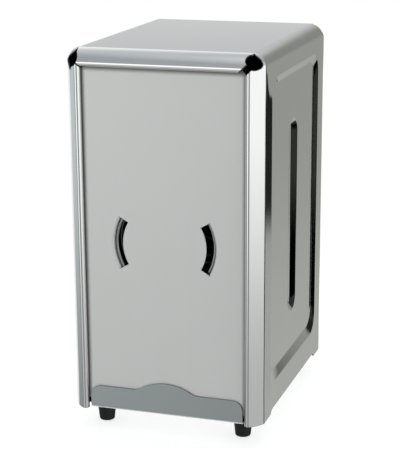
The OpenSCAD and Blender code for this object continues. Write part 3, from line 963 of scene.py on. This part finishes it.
def rubber(name):
    """Moulded black rubber: slightly mottled, with fine pores."""
    darkest, dusty = (0.004, 0.004, 0.0045, 1), (0.014, 0.014, 0.016, 1)
    material, tree, shader = blank_material(name)
    where = add_node(tree, "ShaderNodeTexCoord").outputs["Object"]
    clouds = noise(tree, where, 260.0, 4.0, 0.6)
    pores = noise(tree, where, 2600.0, 3.0, 0.6)
    base = colour_mix(tree, remap(tree, clouds, 0.3, 0.75, 0.0, 1.0), darkest, dusty)
    tree.links.new(base, shader.inputs["Base Color"])
    tree.links.new(remap(tree, clouds, 0.3, 0.7, 0.42, 0.66), shader.inputs["Roughness"])
    shader.inputs["Specular IOR Level"].default_value = 0.3
    lift = add_node(tree, "ShaderNodeBump", {"Height": pores, "Strength": 0.25, "Distance": 0.0002})
    tree.links.new(lift.outputs[0], shader.inputs["Normal"])
    return material


# Each metal: bright and dull tone, range of roughness, scale and stretch of its grain, and bump
polished_steel = metal(
    "polished_steel", (0.76, 0.77, 0.765, 1), (0.69, 0.705, 0.70, 1), (0.05, 0.10), 60.0, (1, 14, 1), 0.03)
# The satin plates carry a painted shadow along the frame's mouth
satin_steel = metal(
    "satin_steel", (0.77, 0.775, 0.765, 1), (0.72, 0.73, 0.72, 1), (0.36, 0.43), 90.0, (1, 1, 0.12), 0.03,
    metallic=0.4, frame_shadow=((HALF_W - FRAME_W + 0.4) * MM, (TOP - FRAME_W) * MM, 0.0027))
# The base steel carries a painted highlight along its lower bend, near the ground
base_steel = metal(
    "base_steel", (0.375, 0.405, 0.41, 1), (0.335, 0.37, 0.375, 1), (0.28, 0.38), 120.0, (0.12, 1, 1), 0.10,
    bend_highlight=((FLOOR_Z + 0.95) * MM, (FLOOR_Z + 1.35) * MM))
# Inner faces of the sheets and the shell's cut edges: an unpolished finish, painted far darker than bare
# steel as the shade inside the housing
mill_steel_with_painted_shade = metal(
    "mill_steel_with_painted_shade", (0.13, 0.135, 0.14, 1), (0.08, 0.085, 0.09, 1), (0.50, 0.64), 90.0, (1, 10, 1), 0.20)
spring_steel = metal(
    "spring_steel", (0.36, 0.37, 0.38, 1), (0.27, 0.28, 0.29, 1), (0.24, 0.34), 500.0, (1, 1, 1), 0.15)
zinc_steel = metal(
    "zinc_steel", (0.66, 0.68, 0.70, 1), (0.50, 0.53, 0.56, 1), (0.30, 0.42), 700.0, (1, 1, 1), 0.20)
black_rubber = rubber("black_rubber")


def dress(piece, body, node, slot, *materials):
    """Gives a piece its materials, the CAD body that it moves with and the CAD node that it stands for."""
    for material in materials:
        piece.data.materials.append(material)
    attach(piece, body)
    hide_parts(node)


dress(build_shell(), "housing", "housing_shell", "polished_steel", polished_steel, mill_steel_with_painted_shade)
dress(build_base(), "housing", "base_plate", "base_steel", base_steel, mill_steel_with_painted_shade)
for end, facing in (("front", 1), ("rear", -1)):
    plate = build_plate(f"{end}_plate_skin", facing)
    dress(plate, f"{end}_pusher", f"{end}_plate", "satin_steel", satin_steel, mill_steel_with_painted_shade)

# Half of the spring for each plate, carried by the housing
for end, facing, joint in (("front", 1, "front_plate_slide"), ("rear", -1, "rear_plate_slide")):
    spring = build_spring(f"spring_{end}_wire", facing)
    dress(spring, "housing", f"spring_{end}", "spring_wire", spring_steel)
    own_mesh(spring)

for end, y in (("front", -FOOT_Y), ("rear", FOOT_Y)):
    for hand, x in (("left", -FOOT_X), ("right", FOOT_X)):
        corner = f"{end}_{hand}"
        foot = lathe(f"foot_{corner}_rubber", foot_outline(), (x, y))
        dress(foot, "housing", f"foot_{corner}", "black_rubber", black_rubber)
        washer = lathe(f"washer_{corner}_disc", washer_outline(), (x, y), creases=50.0)
        dress(washer, "housing", f"washer_{corner}", "zinc_steel", zinc_steel)
        rivet = lathe(f"rivet_{corner}_tube", rivet_outline(), (x, y), creases=50.0)
        dress(rivet, "housing", f"rivet_{corner}", "zinc_steel", zinc_steel)


# ---- floor, light and camera ----

def card(tree, angles, colour, azimuth, elevation, soft, tint):
    """Lays a soft-edged card of one tint over the surround, between two azimuths and two elevations in
    degrees. Azimuth 0 is the right, 90 the back, 180 the left and 270 the front."""
    share = None
    for value, (low, high), blur in zip(angles, (azimuth, elevation), soft):
        for edge, sign in ((low, 1), (high, -1)):
            side = soft_step(tree, value, edge - sign * blur, edge + sign * blur)
            share = side if share is None else total(tree, share, side, "MULTIPLY")
    return colour_mix(tree, share, colour, (*tint, 1))


def build_world():
    """Soft studio surround of pale, grey and dark cards, mirrored in the metal. Seen directly it is white."""
    world = bpy.data.worlds.new("studio")
    world.use_nodes = True
    tree = world.node_tree
    tree.nodes.clear()
    direction = add_node(tree, "ShaderNodeTexCoord").outputs["Generated"]
    parts = add_node(tree, "ShaderNodeSeparateXYZ", {"Vector": direction})
    minus_y = total(tree, parts.outputs["Y"], -1.0, "MULTIPLY")
    minus_x = total(tree, parts.outputs["X"], -1.0, "MULTIPLY")
    turn = total(tree, minus_y, minus_x, "ARCTAN2")
    azimuth = total(tree, total(tree, turn, 180 / math.pi, "MULTIPLY"), 180.0)
    lift = add_node(tree, "ShaderNodeMath", {0: parts.outputs["Z"]}, operation="ARCSINE")
    elevation = total(tree, lift.outputs[0], 180 / math.pi, "MULTIPLY")
    angles = (azimuth, elevation)
    everywhere = (-100, 460)
    height = remap(tree, elevation, -30.0, 60.0, 0.0, 1.0)
    colour = colour_mix(tree, height, (0.52, 0.53, 0.52, 1), (0.66, 0.68, 0.70, 1))
    for band_azimuth, band_elevation, soft, tint in WORLD_CARDS:
        colour = card(tree, angles, colour, band_azimuth or everywhere, band_elevation, soft, tint)
    seen = add_node(tree, "ShaderNodeLightPath").outputs["Is Camera Ray"]
    colour = colour_mix(tree, seen, colour, (1, 1, 1, 1))
    sky = add_node(tree, "ShaderNodeBackground", {"Color": colour, "Strength": 1.0})
    output = add_node(tree, "ShaderNodeOutputWorld")
    tree.links.new(sky.outputs[0], output.inputs["Surface"])
    bpy.context.scene.world = world


# Cards of the surround, the later ones over the earlier: azimuths, elevations, softness of both, colour
WORLD_CARDS = [
    # left, brighter away from the ground
    ((150, 230), (-90, 40), (10, 8), (0.25, 0.26, 0.26)),
    ((150, 201), (-90, 40), (10, 8), (0.30, 0.325, 0.33)),
    ((150, 201), (-17, 40), (10, 7), (0.66, 0.71, 0.725)),
    # front, brightest at eye level, with a grey strip above and past its right edge
    ((225, 270), (-90, 45), (8, 8), (0.64, 0.65, 0.645)),
    ((228, 268), (-16, 17), (6, 6), (1.52, 1.52, 1.51)),
    ((180, 300), (24, 68), (10, 5), (0.45, 0.475, 0.49)),
    ((257, 305), (-90, 30), (4, 8), (0.32, 0.325, 0.32)),
    # back right, darker away from the ground
    ((40, 92), (-90, 24), (8, 6), (0.46, 0.465, 0.44)),
    ((40, 92), (-15, 24), (8, 5), (0.36, 0.365, 0.34)),
    # back and overhead, and a dark strip along the back right
    ((92, 150), (-90, 4.5), (7, 5), (1.05, 1.05, 1.04)),
    ((60, 170), (20, 62), (10, 6), (1.17, 1.17, 1.14)),
    ((55, 85), (-1, 14), (5, 4), (0.29, 0.295, 0.27)),
    (None, (76, 120), (8, 5), (1.20, 1.20, 1.20)),
    # right, bright past the front corner and dark behind it; the darkest strips give the slopes their streaks
    ((300, 379), (-90, 12), (4, 5), (0.58, 0.58, 0.58)),
    ((300, 379), (-16, 12), (4, 6), (1.25, 1.25, 1.25)),
    ((-60, 19), (-90, 12), (4, 5), (0.58, 0.58, 0.58)),
    ((-60, 19), (-16, 12), (4, 6), (1.25, 1.25, 1.25)),
    ((18.5, 56), (-40, 10), (2, 3), (0.036, 0.036, 0.032)),
    ((18.5, 56), (-19, -14), (2, 1.5), (0.0, 0.0, 0.0)),
    ((50, 67), (-14.8, -7.5), (2, 0.7), (0.018, 0.018, 0.015)),
]


def build_floor():
    """Round pale floor that fades out at its edge. It glows, and stays out of reflections."""
    radius, rings, count = 0.30, 12, 96
    fade_from, fade_to = 0.14, 0.28
    gap_below_feet = 0.0002
    points, faces = [(0.0, 0.0, 0.0)], []
    for ring in range(1, rings + 1):
        reach = radius * ring / rings
        for k in range(count):
            angle = 2 * math.pi * k / count
            points.append((reach * math.cos(angle), reach * math.sin(angle), 0.0))
    for k in range(count):
        faces.append((0, 1 + k, 1 + (k + 1) % count))
        for ring in range(rings - 1):
            a, b = 1 + ring * count + k, 1 + ring * count + (k + 1) % count
            faces.append((a, a + count, b + count, b))
    mesh = bpy.data.meshes.new("studio_floor")
    mesh.from_pydata(points, [], faces)
    floor = bpy.data.objects.new("studio_floor", mesh)
    floor.location = (0, 0, -gap_below_feet)
    floor.visible_glossy = False
    floor.visible_diffuse = False
    floor.visible_shadow = False
    bpy.context.scene.collection.objects.link(floor)
    material = bpy.data.materials.new("pale_floor")
    material.use_nodes = True
    tree = material.node_tree
    tree.nodes.clear()
    where = add_node(tree, "ShaderNodeTexCoord").outputs["Object"]
    away = add_node(tree, "ShaderNodeVectorMath", operation="LENGTH")
    tree.links.new(where, away.inputs[0])
    share = remap(tree, away.outputs["Value"], fade_from, fade_to, 0.0, 1.0)
    paint = add_node(tree, "ShaderNodeBsdfDiffuse", {"Color": (0.50, 0.50, 0.50, 1)})
    glow = add_node(tree, "ShaderNodeEmission", {"Color": (1, 1, 1, 1), "Strength": 0.745})
    pale = add_node(tree, "ShaderNodeAddShader", {0: paint.outputs[0], 1: glow.outputs[0]})
    clear = add_node(tree, "ShaderNodeBsdfTransparent")
    blend = add_node(tree, "ShaderNodeMixShader", {0: share, 1: pale.outputs[0], 2: clear.outputs[0]})
    output = add_node(tree, "ShaderNodeOutputMaterial")
    tree.links.new(blend.outputs[0], output.inputs["Surface"])
    mesh.materials.append(material)


# Camera at the viewing angle: its lens and shift, place and aim in metres, and roll in degrees
LENS, SENSOR = 116.95, 36.0
SHIFT_X, SHIFT_Y = 0.0556, 0.0444
CAMERA_PLACE = (0.22361, -0.69479, 0.28518)
CAMERA_AIM = (0.00500, -0.05690, 0.09716)
CAMERA_ROLL = -0.58


def build_camera():
    camera = bpy.data.cameras.new("camera")
    camera.lens = LENS
    camera.sensor_width = SENSOR
    camera.shift_x, camera.shift_y = SHIFT_X, SHIFT_Y
    camera.clip_start = 0.01
    holder = bpy.data.objects.new("camera", camera)
    place, aim = Vector(CAMERA_PLACE), Vector(CAMERA_AIM)
    roll = Matrix.Rotation(math.radians(CAMERA_ROLL), 3, "Z")
    holder.location = place
    holder.rotation_euler = ((aim - place).to_track_quat("-Z", "Y").to_matrix() @ roll).to_euler()
    bpy.context.scene.collection.objects.link(holder)
    bpy.context.scene.camera = holder


build_world()
build_floor()
build_camera()
bpy.context.scene.view_settings.view_transform = "Standard"
